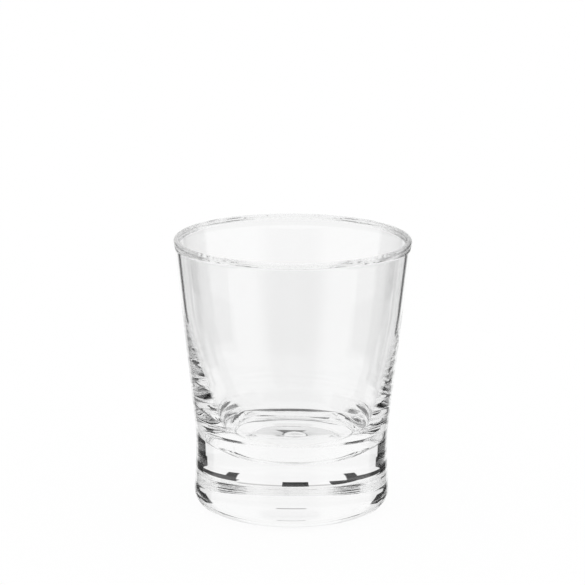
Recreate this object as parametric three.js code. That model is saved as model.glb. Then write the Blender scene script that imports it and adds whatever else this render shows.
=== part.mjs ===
// Double rocks glass: one piece of clear glass, turned about the Z axis and standing on z = 0.
import * as THREE from 'three';

// Driving sizes, in millimetres and degrees.
const height = 104;
const rimDiameter = 89.6;
const wallThickness = 2;
const lipBead = 0.2;
const lipBlendAngle = 40;
const waistDiameter = 73.4;
const waistHeight = 29.2;
const footDiameter = 74.8;
const footFlare = 5;
const heelRadius = 5.8;
const standingWidth = 3.2;
const puntDepth = 2.5;
const sweepTop = 78;
const sweepAngle = 74;
const shoulderDiameter = 61.2;
const shoulderHeight = 31.5;
const shoulderSoft = 4;
const ringDiameter = 48;
const ringHeight = 24.4;
const ringSoft = 2.5;
const floorHeight = 22.3;
const floorDiameter = 34.8;
const floorSoft = 1.5;
const dimpleDiameter = 9.5;
const dimpleDepth = 0.6;

// Facets around the glass, and steps along each curve of its section.
const roundFacets = 72;
const curveSteps = 4;

const quarterTurn = Math.PI / 2;
const radians = THREE.MathUtils.degToRad;

// Lip: a round bead, fire polished, that stands a little proud of both faces of the wall.
const lipRadius = wallThickness / 2 + lipBead;
const lipCentre = new THREE.Vector2(rimDiameter / 2 - lipRadius, height - lipRadius);
const lipAngle = radians(lipBlendAngle);

// Bowl: a straight taper from the waist up to the lip, of even wall down to the sweep of the floor.
const waistRadius = waistDiameter / 2;
const bowlSlope = (rimDiameter / 2 - lipBead - waistRadius) / (lipCentre.y - waistHeight);
const outsideAt = (z) => waistRadius + bowlSlope * (z - waistHeight);
const insideAt = (z) => outsideAt(z) - wallThickness;

// A short blend between the bead and one face of the wall, side being 1 outside and -1 inside.
function lipBlend(side, faceAt) {
  const across = side * Math.sin(lipAngle);
  const bead = new THREE.Vector2(
    lipCentre.x + side * lipRadius * Math.cos(lipAngle),
    lipCentre.y - lipRadius * Math.sin(lipAngle),
  );
  const run = (bead.x - faceAt(bead.y)) / (across - bowlSlope * Math.cos(lipAngle));
  const corner = new THREE.Vector2(bead.x - run * across, bead.y - run * Math.cos(lipAngle));
  const wall = new THREE.Vector2(faceAt(corner.y - run), corner.y - run);
  return { bead, corner, wall };
}
const outerBlend = lipBlend(1, outsideAt);
const innerBlend = lipBlend(-1, insideAt);

// Foot: solid, with a rounded heel and a flank drawn in between the heel's flare and the waist.
const heelCentre = footDiameter / 2 - heelRadius;
const flare = radians(footFlare);
const flareRadius = heelCentre + heelRadius * Math.cos(flare);
const flareHeight = heelRadius + heelRadius * Math.sin(flare);
const flankHeight = (flareHeight + waistHeight) / 2;
const flankRadius = flareRadius - Math.tan(flare) * (flankHeight - flareHeight);

// Radius of the ball that makes a shallow dish of a given rim radius and depth.
const dishRadius = (rim, depth) => (rim ** 2 + depth ** 2) / (2 * depth);

// Underside: a shallow dome inside the flat ring that the glass stands on.
const puntRim = heelCentre - standingWidth;
const puntBall = dishRadius(puntRim, puntDepth);
const puntAngle = Math.asin(puntRim / puntBall);

// Inside: the wall sweeps in to a shoulder, turns down to a ring and lies down on the flat floor.
const sweepRun = 1 / Math.tan(radians(sweepAngle));
const bendHeight = (insideAt(0) - shoulderDiameter / 2 + sweepRun * shoulderHeight) / (sweepRun - bowlSlope);
const bend = new THREE.Vector2(insideAt(bendHeight), bendHeight);
const shoulder = new THREE.Vector2(shoulderDiameter / 2, shoulderHeight);
const ring = new THREE.Vector2(ringDiameter / 2, ringHeight);
const floorEdge = new THREE.Vector2(floorDiameter / 2, floorHeight);

// Point on the way from one corner of the inside to the next.
const toward = (from, to, far) => to.clone().sub(from).setLength(far).add(from);
const overShoulder = toward(shoulder, bend, shoulderSoft);
const underShoulder = toward(shoulder, ring, shoulderSoft);
const overRing = toward(ring, shoulder, ringSoft);
const underRing = toward(ring, floorEdge, ringSoft);
const overFloor = toward(floorEdge, ring, floorSoft);

// Shallow dimple in the middle of the floor.
const dimpleRim = dimpleDiameter / 2;
const dimpleBall = dishRadius(dimpleRim, dimpleDepth);
const dimpleAngle = Math.asin(dimpleRim / dimpleBall);

// Half section, from the middle of the underside round to the middle of the floor.
const section = new THREE.Path();
section.moveTo(0, puntDepth);
section.absarc(0, puntDepth - puntBall, puntBall, quarterTurn, quarterTurn - puntAngle, true);
section.lineTo(heelCentre, 0);
section.absarc(heelCentre, heelRadius, heelRadius, -quarterTurn, flare, false);
section.quadraticCurveTo(flankRadius, flankHeight, waistRadius, waistHeight);
section.lineTo(outerBlend.wall.x, outerBlend.wall.y);
section.quadraticCurveTo(outerBlend.corner.x, outerBlend.corner.y, outerBlend.bead.x, outerBlend.bead.y);
section.absarc(lipCentre.x, lipCentre.y, lipRadius, -lipAngle, Math.PI + lipAngle, false);
section.quadraticCurveTo(innerBlend.corner.x, innerBlend.corner.y, innerBlend.wall.x, innerBlend.wall.y);
section.lineTo(insideAt(sweepTop), sweepTop);
section.quadraticCurveTo(bend.x, bend.y, overShoulder.x, overShoulder.y);
section.quadraticCurveTo(shoulder.x, shoulder.y, underShoulder.x, underShoulder.y);
section.lineTo(overRing.x, overRing.y);
section.quadraticCurveTo(ring.x, ring.y, underRing.x, underRing.y);
section.lineTo(overFloor.x, overFloor.y);
section.quadraticCurveTo(floorEdge.x, floorEdge.y, floorEdge.x - floorSoft, floorHeight);
section.lineTo(dimpleRim, floorHeight);
section.absarc(0, floorHeight - dimpleDepth + dimpleBall, dimpleBall, dimpleAngle - quarterTurn, -quarterTurn, true);

const turnedGlass = new THREE.LatheGeometry(section.getPoints(curveSteps), roundFacets);
turnedGlass.rotateX(quarterTurn);

const clearGlass = new THREE.MeshStandardMaterial({
  color: 0xf0f3f3,
  roughness: 0.03,
  metalness: 0,
  transparent: true,
  opacity: 0.35,
});

const glass = new THREE.Mesh(turnedGlass, clearGlass);
glass.name = 'glass';

const doubleRocksGlass = new THREE.Group();
doubleRocksGlass.add(glass);

export default doubleRocksGlass;
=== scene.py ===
import math

import bpy
import numpy as np
from mathutils import Matrix


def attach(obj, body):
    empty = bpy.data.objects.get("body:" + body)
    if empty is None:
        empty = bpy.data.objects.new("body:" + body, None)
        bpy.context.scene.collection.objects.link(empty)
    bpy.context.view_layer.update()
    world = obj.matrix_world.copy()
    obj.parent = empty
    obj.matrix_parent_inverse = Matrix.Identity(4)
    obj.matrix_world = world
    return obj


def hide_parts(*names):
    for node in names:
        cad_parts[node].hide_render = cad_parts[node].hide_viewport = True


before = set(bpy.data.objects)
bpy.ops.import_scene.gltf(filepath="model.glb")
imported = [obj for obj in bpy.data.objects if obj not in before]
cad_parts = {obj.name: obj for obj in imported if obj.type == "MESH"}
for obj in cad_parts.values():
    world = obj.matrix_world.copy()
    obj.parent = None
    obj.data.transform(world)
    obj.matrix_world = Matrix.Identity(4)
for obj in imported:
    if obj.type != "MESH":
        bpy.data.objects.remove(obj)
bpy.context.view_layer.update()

mm = 0.001
scene = bpy.context.scene
scene.view_settings.view_transform = 'Standard'


def link(item):
    scene.collection.objects.link(item)
    return item


# Camera, fitted to the outline of the glass.
cameraView = {
    'back': 0.84382, 'height': 0.28820, 'tilt': 13.694, 'roll': 0.3154,  # metres, degrees
    'lens': 141.373, 'sensor': 36.0,
}


def makeCamera(s):
    lens = bpy.data.cameras.new('camera')
    lens.sensor_fit = 'HORIZONTAL'
    lens.sensor_width = s['sensor']
    lens.lens = s['lens']
    camera = link(bpy.data.objects.new('camera', lens))
    place = Matrix.Translation((0, -s['back'], s['height']))
    tilt = Matrix.Rotation(math.radians(90 - s['tilt']), 4, 'X')
    roll = Matrix.Rotation(math.radians(s['roll']), 4, 'Z')
    camera.matrix_world = place @ tilt @ roll
    scene.camera = camera


makeCamera(cameraView)
print('camera placed')


# Glass: half section turned about Z, sizes in millimetres and degrees.
glassSize = {
    'height': 104.0, 'rimDiameter': 89.6, 'wall': 2.0,
    'lipBead': 0.06, 'lipBlendAngle': 40.0, 'lipBlendReach': 3.0,
    'waistDiameter': 73.4, 'waistHeight': 29.2, 'waistSoft': 1.2,
    'footDiameter': 74.8, 'footFlare': 5.0, 'heelRadius': 5.8,
    'standingWidth': 3.2, 'puntDepth': 2.5,
    'sweepTop': 78.0, 'sweepAngle': 74.0,
    'shoulderDiameter': 61.6, 'shoulderHeight': 33.0, 'shoulderSoft': 4.0,
    'ringDiameter': 48.0, 'ringHeight': 25.0, 'ringSoft': 2.5,
    'floorHeight': 22.0, 'floorDiameter': 34.8, 'floorSoft': 1.5,
    'dimpleDiameter': 9.5, 'dimpleDepth': 1.1,
    'lean': (0.9, 0.0), 'leanTop': 80.0,  # the bowl's floor sits a little off centre, as blown
    # Faint waves left on the inside by blowing: count round, share, start and twist with height.
    'ripple': 0.05, 'waves': ((3, 1.0, 0.4, 0.05), (5, 0.7, 2.1, -0.09), (8, 0.5, 1.2, 0.16)),
    'calmRadius': 10.0, 'calmBlend': 12.0,  # the middle of the floor has none
    'turns': 256,
    'steps': {
        'dome': 36, 'heel': 36, 'flank': 40, 'waist': 10, 'wall': 30, 'blend': 8, 'lip': 30, 'innerWall': 14,
        'sweep': 60, 'shoulder': 16, 'ring': 16, 'floorEdge': 12, 'floor': 8, 'dimple': 16,
    },
}


def arcPoints(centreR, centreZ, radius, start, end, count):
    angles = np.radians(np.linspace(start, end, count))
    return [(centreR + radius * math.cos(a), centreZ + radius * math.sin(a)) for a in angles]


def bendPoints(a, corner, b, count):
    t = np.linspace(0, 1, count)[:, None]
    curve = (1 - t) ** 2 * np.array(a) + 2 * t * (1 - t) * np.array(corner) + t ** 2 * np.array(b)
    return [tuple(p) for p in curve]


def glassSection(s):
    steps = s['steps']
    lip = s['wall'] / 2 + s['lipBead']
    lipR, lipZ = s['rimDiameter'] / 2 - lip, s['height'] - lip
    waistR, waistZ = s['waistDiameter'] / 2, s['waistHeight']
    slope = (s['rimDiameter'] / 2 - s['lipBead'] - waistR) / (lipZ - waistZ)

    def outside(z):
        return waistR + slope * (z - waistZ)

    def inside(z):
        return outside(z) - s['wall']

    def lipBlend(side, face):
        angle = math.radians(s['lipBlendAngle'])
        across = side * math.sin(angle)
        bead = (lipR + side * lip * math.cos(angle), lipZ - lip * math.sin(angle))
        run = (bead[0] - face(bead[1])) / (across - slope * math.cos(angle))
        corner = (bead[0] - run * across, bead[1] - run * math.cos(angle))
        wallZ = corner[1] - s['lipBlendReach'] * run
        return bead, corner, (face(wallZ), wallZ)

    outBead, outCorner, outWall = lipBlend(1, outside)
    inBead, inCorner, inWall = lipBlend(-1, inside)

    # Foot: dome underneath, flat standing ring, round heel and drawn-in flank.
    heelR = s['footDiameter'] / 2 - s['heelRadius']
    domeR = heelR - s['standingWidth']
    domeBall = (domeR ** 2 + s['puntDepth'] ** 2) / (2 * s['puntDepth'])
    domeEdge = 90 - math.degrees(math.asin(domeR / domeBall))
    points = arcPoints(0, s['puntDepth'] - domeBall, domeBall, 90, domeEdge, steps['dome'])
    points += [(domeR + s['standingWidth'] * t, 0.0) for t in (0.05, 0.5, 0.95)]
    points += arcPoints(heelR, s['heelRadius'], s['heelRadius'], -90, s['footFlare'], steps['heel'])
    flare = math.radians(s['footFlare'])
    flareR, flareZ = points[-1]
    midZ = (flareZ + waistZ) / 2
    midR = flareR - math.tan(flare) * (midZ - flareZ)
    flank = bendPoints((flareR, flareZ), (midR, midZ), (waistR, waistZ), steps['flank'])
    flank = [p for p in flank[1:] if p[1] < waistZ - s['waistSoft']]
    overWaist = (outside(waistZ + s['waistSoft']), waistZ + s['waistSoft'])
    points += flank + bendPoints(flank[-1], (waistR, waistZ), overWaist, steps['waist'])[1:]

    # Wall and fire-polished lip.
    points += [(outside(z), z) for z in np.linspace(overWaist[1], outWall[1], steps['wall'])[1:]]
    points += bendPoints(outWall, outCorner, outBead, steps['blend'])[1:]
    points += arcPoints(lipR, lipZ, lip, -s['lipBlendAngle'], 180 + s['lipBlendAngle'], steps['lip'])[1:]
    points += bendPoints(inBead, inCorner, inWall, steps['blend'])[1:]
    innerFrom = len(points)

    # Inside: wall, sweep down to a shoulder, round corner to a soft ring, flat floor and its dimple.
    floorR, shoulderR = s['floorDiameter'] / 2, s['shoulderDiameter'] / 2
    run = 1 / math.tan(math.radians(s['sweepAngle']))
    bendZ = (inside(0) - shoulderR + run * s['shoulderHeight']) / (run - slope)
    top = (inside(s['sweepTop']), s['sweepTop'])
    bend = np.array((inside(bendZ), bendZ))
    shoulder = np.array((shoulderR, s['shoulderHeight']))
    ring = np.array((s['ringDiameter'] / 2, s['ringHeight']))
    edge = np.array((floorR, s['floorHeight']))

    def toward(a, b, far):
        return a + (b - a) / np.linalg.norm(b - a) * far

    overShoulder, underShoulder = (toward(shoulder, end, s['shoulderSoft']) for end in (bend, ring))
    overRing, underRing = (toward(ring, end, s['ringSoft']) for end in (shoulder, edge))
    overFloor, onFloor = toward(edge, ring, s['floorSoft']), edge - (s['floorSoft'], 0)
    points += [(inside(z), z) for z in np.linspace(inWall[1], top[1], steps['innerWall'])[1:-1]]
    points += bendPoints(top, bend, overShoulder, steps['sweep'])
    points += bendPoints(points[-1], shoulder, underShoulder, steps['shoulder'])[1:]
    points += bendPoints(overRing, ring, underRing, steps['ring'])
    points += bendPoints(overFloor, edge, onFloor, steps['floorEdge'])
    dimpleR = s['dimpleDiameter'] / 2
    flat = np.linspace(floorR - s['floorSoft'], dimpleR, steps['floor'])
    points += [(r, s['floorHeight']) for r in flat[1:]]
    for r in np.linspace(dimpleR, 0, steps['dimple'])[1:]:
        points.append((r, s['floorHeight'] - s['dimpleDepth'] * (1 - (r / dimpleR) ** 2)))
    return np.array(points), innerFrom


def makeGlass(s):
    section, innerFrom = glassSection(s)
    rows, count = section[1:-1], s['turns']
    turn = np.linspace(0, 2 * math.pi, count, endpoint=False)
    radius = np.repeat(rows[:, :1], count, 1)
    level = np.repeat(rows[:, 1:], count, 1)
    isInner = np.arange(len(rows)) >= innerFrom - 1
    low = np.clip((s['leanTop'] - rows[:, 1]) / (s['leanTop'] - s['floorHeight']), 0, 1)
    low = np.where(isInner, low ** 2 * (3 - 2 * low), 0)[:, None]
    # The waves are strongest low in the bowl.
    wave = 0
    for around, share, start, twist in s['waves']:
        wave = wave + share * np.cos(around * turn + start + level * twist)
    away = np.clip((rows[:, 0] - s['calmRadius']) / s['calmBlend'], 0, 1)[:, None]
    radius = radius + s['ripple'] * wave * low * away
    x = radius * np.sin(turn) + low * s['lean'][0]
    y = -radius * np.cos(turn) + low * s['lean'][1]
    verts = np.stack([x, y, level], -1).reshape(-1, 3)
    ends = [[0, 0, section[0, 1]], [s['lean'][0], s['lean'][1], section[-1, 1]]]
    verts = np.vstack([verts, ends]) * mm
    bottom, top, last = len(verts) - 2, len(verts) - 1, (len(rows) - 1) * count
    faces = []
    for j in range(count):
        k = (j + 1) % count
        for i in range(0, last, count):
            faces.append((i + j, i + k, i + count + k, i + count + j))
        faces.append((bottom, k, j))
        faces.append((top, last + j, last + k))
    mesh = bpy.data.meshes.new('glassBody')
    mesh.from_pydata(verts.tolist(), [], faces)
    mesh.polygons.foreach_set('use_smooth', [True] * len(mesh.polygons))
    mesh.update()
    return link(bpy.data.objects.new('glassBody', mesh))


# Clear glass finish.
clearGlass = {
    'tint': (0.968, 0.969, 0.969), 'tintLow': (0.958, 0.959, 0.959), 'tintRange': (0.35, 0.65),
    'ior': 1.52, 'roughLow': 0.0, 'roughHigh': 0.012, 'roughRange': (0.35, 0.75),
    'cloudScale': 22.0, 'cloudDetail': 3.0,
    'rippleScale': 60.0, 'rippleDetail': 1.0, 'rippleStrength': 0.02, 'rippleDepth': 0.0002,
}


def makeClearGlass(s):
    material = bpy.data.materials.new('clear_glass')
    material.use_nodes = True
    tree = material.node_tree
    nodes, links = tree.nodes, tree.links
    surface = nodes['Principled BSDF']
    surface.inputs['IOR'].default_value = s['ior']
    surface.inputs['Transmission Weight'].default_value = 1.0
    surface.inputs['Metallic'].default_value = 0.0
    place = nodes.new('ShaderNodeTexCoord')

    # Cloudy variation of tint and polish.
    cloud = nodes.new('ShaderNodeTexNoise')
    cloud.inputs['Scale'].default_value = s['cloudScale']
    cloud.inputs['Detail'].default_value = s['cloudDetail']
    links.new(place.outputs['Object'], cloud.inputs['Vector'])
    tint = nodes.new('ShaderNodeValToRGB')
    tint.color_ramp.elements[0].position = s['tintRange'][0]
    tint.color_ramp.elements[0].color = s['tintLow'] + (1.0,)
    tint.color_ramp.elements[1].position = s['tintRange'][1]
    tint.color_ramp.elements[1].color = s['tint'] + (1.0,)
    links.new(cloud.outputs['Fac'], tint.inputs['Fac'])
    links.new(tint.outputs['Color'], surface.inputs['Base Color'])
    polish = nodes.new('ShaderNodeMapRange')
    polish.inputs['From Min'].default_value = s['roughRange'][0]
    polish.inputs['From Max'].default_value = s['roughRange'][1]
    polish.inputs['To Min'].default_value = s['roughLow']
    polish.inputs['To Max'].default_value = s['roughHigh']
    links.new(cloud.outputs['Fac'], polish.inputs['Value'])
    links.new(polish.outputs['Result'], surface.inputs['Roughness'])

    # Slow ripple of a mould-blown surface.
    ripple = nodes.new('ShaderNodeTexNoise')
    ripple.inputs['Scale'].default_value = s['rippleScale']
    ripple.inputs['Detail'].default_value = s['rippleDetail']
    links.new(place.outputs['Object'], ripple.inputs['Vector'])
    bump = nodes.new('ShaderNodeBump')
    bump.inputs['Strength'].default_value = s['rippleStrength']
    bump.inputs['Distance'].default_value = s['rippleDepth']
    links.new(ripple.outputs['Fac'], bump.inputs['Height'])
    links.new(bump.outputs['Normal'], surface.inputs['Normal'])
    return material


glassBody = makeGlass(glassSize)
glassBody.data.materials.append(makeClearGlass(clearGlass))
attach(glassBody, 'root')
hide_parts('glass')
print('glass turned:', len(glassBody.data.vertices), 'points')


# Studio: white all round, with dark cards, set for the camera's view, that draw the lines in the glass.
# Angles in degrees: across from +Y to either side, up from the horizon.
studio = {
    'through': [  # what shows through the glass
        {'across': (150, 195), 'up': (-30, 5), 'level': 0.3, 'soft': 14.0},
        {'across': (150, 195), 'up': (5, 48), 'level': 0.1, 'soft': 4.0},
        {'across': (77, 110), 'up': (-30, -8), 'level': 0.05, 'soft': 1.0},
        {'across': (50, 77), 'up': (8, 48), 'level': 0.02, 'soft': 1.0},
        {'across': (77, 110), 'up': (27, 48), 'level': 0.02, 'soft': 1.0},
        {'across': (-1, 24), 'up': (5, 13), 'level': 0.6, 'soft': 1.5},
        {'across': (24, 31), 'up': (-20.5, -9), 'level': 0.03, 'soft': 0.5},
        {'across': (24, 57), 'up': (-10, 4), 'level': 0.05, 'soft': 0.5},
        {'across': (55, 77), 'up': (-36, 8), 'level': 0.0, 'soft': 0.8},
        {'across': (-1, 6), 'up': (29.8, 31.2), 'level': 0.3, 'soft': 0.4},
        {'across': (-1, 195), 'up': (50, 91), 'level': 0.8, 'soft': 8.0},
        {'across': (-1, 4.5), 'up': (58, 66), 'level': 0.05, 'soft': 0.6},
        {'across': (-1, 24), 'up': (-70, -59), 'level': 0.1, 'soft': 1.0},
    ],
    'mirrored': [  # what reflects in it
        {'across': (25, 72), 'up': (-60, 5), 'level': 0.05, 'soft': 4.0},
        {'across': (148, 185), 'up': (-60, 60), 'level': 0.4, 'soft': 12.0},
    ],
}


def makeStudio(s):
    world = bpy.data.worlds.new('studio')
    scene.world = world
    world.use_nodes = True
    tree = world.node_tree
    nodes, links = tree.nodes, tree.links

    def maths(kind, a, b=None, clamp=False):
        node = nodes.new('ShaderNodeMath')
        node.operation = kind
        node.use_clamp = clamp
        for socket, value in zip(node.inputs, (a, b)):
            if isinstance(value, (int, float)):
                socket.default_value = value
            elif value is not None:
                links.new(value, socket)
        return node.outputs[0]

    def ramp(value, edge, soft):
        node = nodes.new('ShaderNodeMapRange')
        node.interpolation_type = 'SMOOTHSTEP'
        node.inputs['From Min'].default_value = edge - soft
        node.inputs['From Max'].default_value = edge + soft
        links.new(value, node.inputs['Value'])
        return node.outputs['Result']

    def between(value, edges, soft):
        return maths('SUBTRACT', ramp(value, edges[0], soft), ramp(value, edges[1], soft), True)

    def mix(factor, a, b):
        node = nodes.new('ShaderNodeMix')
        for socket, value in zip(node.inputs[:1] + node.inputs[2:4], (factor, a, b)):
            if isinstance(value, (int, float)):
                socket.default_value = value
            else:
                links.new(value, socket)
        return node.outputs[0]

    view = nodes.new('ShaderNodeTexCoord')
    axes = nodes.new('ShaderNodeSeparateXYZ')
    links.new(view.outputs['Generated'], axes.inputs[0])
    across = maths('ABSOLUTE', maths('DEGREES', maths('ARCTAN2', axes.outputs['X'], axes.outputs['Y'])))
    up = maths('DEGREES', maths('ARCSINE', axes.outputs['Z']))

    def surround(cards):
        level = 1.0
        for card in cards:
            wide = between(across, card['across'], card['soft'])
            tall = between(up, card['up'], card['soft'])
            level = mix(maths('MULTIPLY', wide, tall), level, card['level'])
        return level

    ray = nodes.new('ShaderNodeLightPath')
    level = mix(ray.outputs['Is Glossy Ray'], 1.0, surround(s['mirrored']))
    level = mix(ray.outputs['Is Transmission Ray'], level, surround(s['through']))
    level = mix(ray.outputs['Is Camera Ray'], level, 1.0)
    links.new(level, nodes['Background'].inputs['Strength'])
    nodes['Background'].inputs['Color'].default_value = (1, 1, 1, 1)


makeStudio(studio)


def plainGlow(name, level):
    material = bpy.data.materials.new(name)
    material.use_nodes = True
    nodes, links = material.node_tree.nodes, material.node_tree.links
    nodes.remove(nodes['Principled BSDF'])
    glow = nodes.new('ShaderNodeEmission')
    glow.inputs['Strength'].default_value = level
    links.new(glow.outputs['Emission'], nodes['Material Output'].inputs['Surface'])
    return material


# Cards close round the glass, set for the camera's view and seen only through the glass.
# Angles at the axis from +Y, sizes in millimetres.
wholeTurn = ((0, 180), (180, 360))
nearCards = {
    'heelDashes': {
        'radii': (41.0, 41.0), 'heights': (1.7, 2.9), 'level': 0.02,
        'spans': ((-1.2, 2.2), (4.6, 11.6), (-11.6, -5.6)),
    },
    'footWhite': {'radii': (45.0, 45.0), 'heights': (5.5, 14.0), 'level': 1.0, 'spans': ((-9, 9),)},
    'underWhite': {'radii': (1.0, 36.0), 'heights': (-1.0, -1.0), 'level': 1.0, 'spans': wholeTurn},
    'rimWhite': {'radii': (48.0, 48.0), 'heights': (98.5, 210.0), 'level': 0.95, 'spans': wholeTurn},
}


def makeNearCard(name, s):
    verts, faces = [], []
    for start, end in s['spans']:
        count = 9 + int((end - start) / 4)
        angles = np.radians(np.linspace(start, end, count))
        first = len(verts)
        for r, z in zip(s['radii'], s['heights']):
            verts += [(r * mm * math.sin(a), r * mm * math.cos(a), z * mm) for a in angles]
        for i in range(first, first + count - 1):
            faces.append((i, i + 1, i + count + 1, i + count))
    mesh = bpy.data.meshes.new(name)
    mesh.from_pydata(verts, [], faces)
    mesh.materials.append(plainGlow(name, s['level']))
    card = link(bpy.data.objects.new(name, mesh))
    card.visible_camera = card.visible_diffuse = card.visible_glossy = card.visible_shadow = False


for name, size in nearCards.items():
    makeNearCard(name, size)


# Floor: white to the camera, with a part of it left to take the shadow.
paleFloor = {'size': 6.0, 'shadowShare': 0.05}


def makeFloor(s):
    half = s['size'] / 2
    mesh = bpy.data.meshes.new('floor')
    corners = [(-half, -half, 0), (half, -half, 0), (half, half, 0), (-half, half, 0)]
    mesh.from_pydata(corners, [], [(0, 1, 2, 3)])
    material = plainGlow('paleFloor', 1.0)
    nodes, links = material.node_tree.nodes, material.node_tree.links
    matt = nodes.new('ShaderNodeBsdfDiffuse')
    matt.inputs['Color'].default_value = (1, 1, 1, 1)
    blend = nodes.new('ShaderNodeMixShader')
    blend.inputs['Fac'].default_value = s['shadowShare']
    links.new(nodes['Emission'].outputs['Emission'], blend.inputs[1])
    links.new(matt.outputs['BSDF'], blend.inputs[2])
    links.new(blend.outputs['Shader'], nodes['Material Output'].inputs['Surface'])
    mesh.materials.append(material)
    floor = link(bpy.data.objects.new('floor', mesh))
    floor.visible_transmission = floor.visible_glossy = False


makeFloor(paleFloor)
bounces = 160  # light runs far along the wall before it leaves at the lip
scene.cycles.max_bounces = bounces
scene.cycles.transmission_bounces = bounces
scene.cycles.glossy_bounces = bounces
print('studio set')
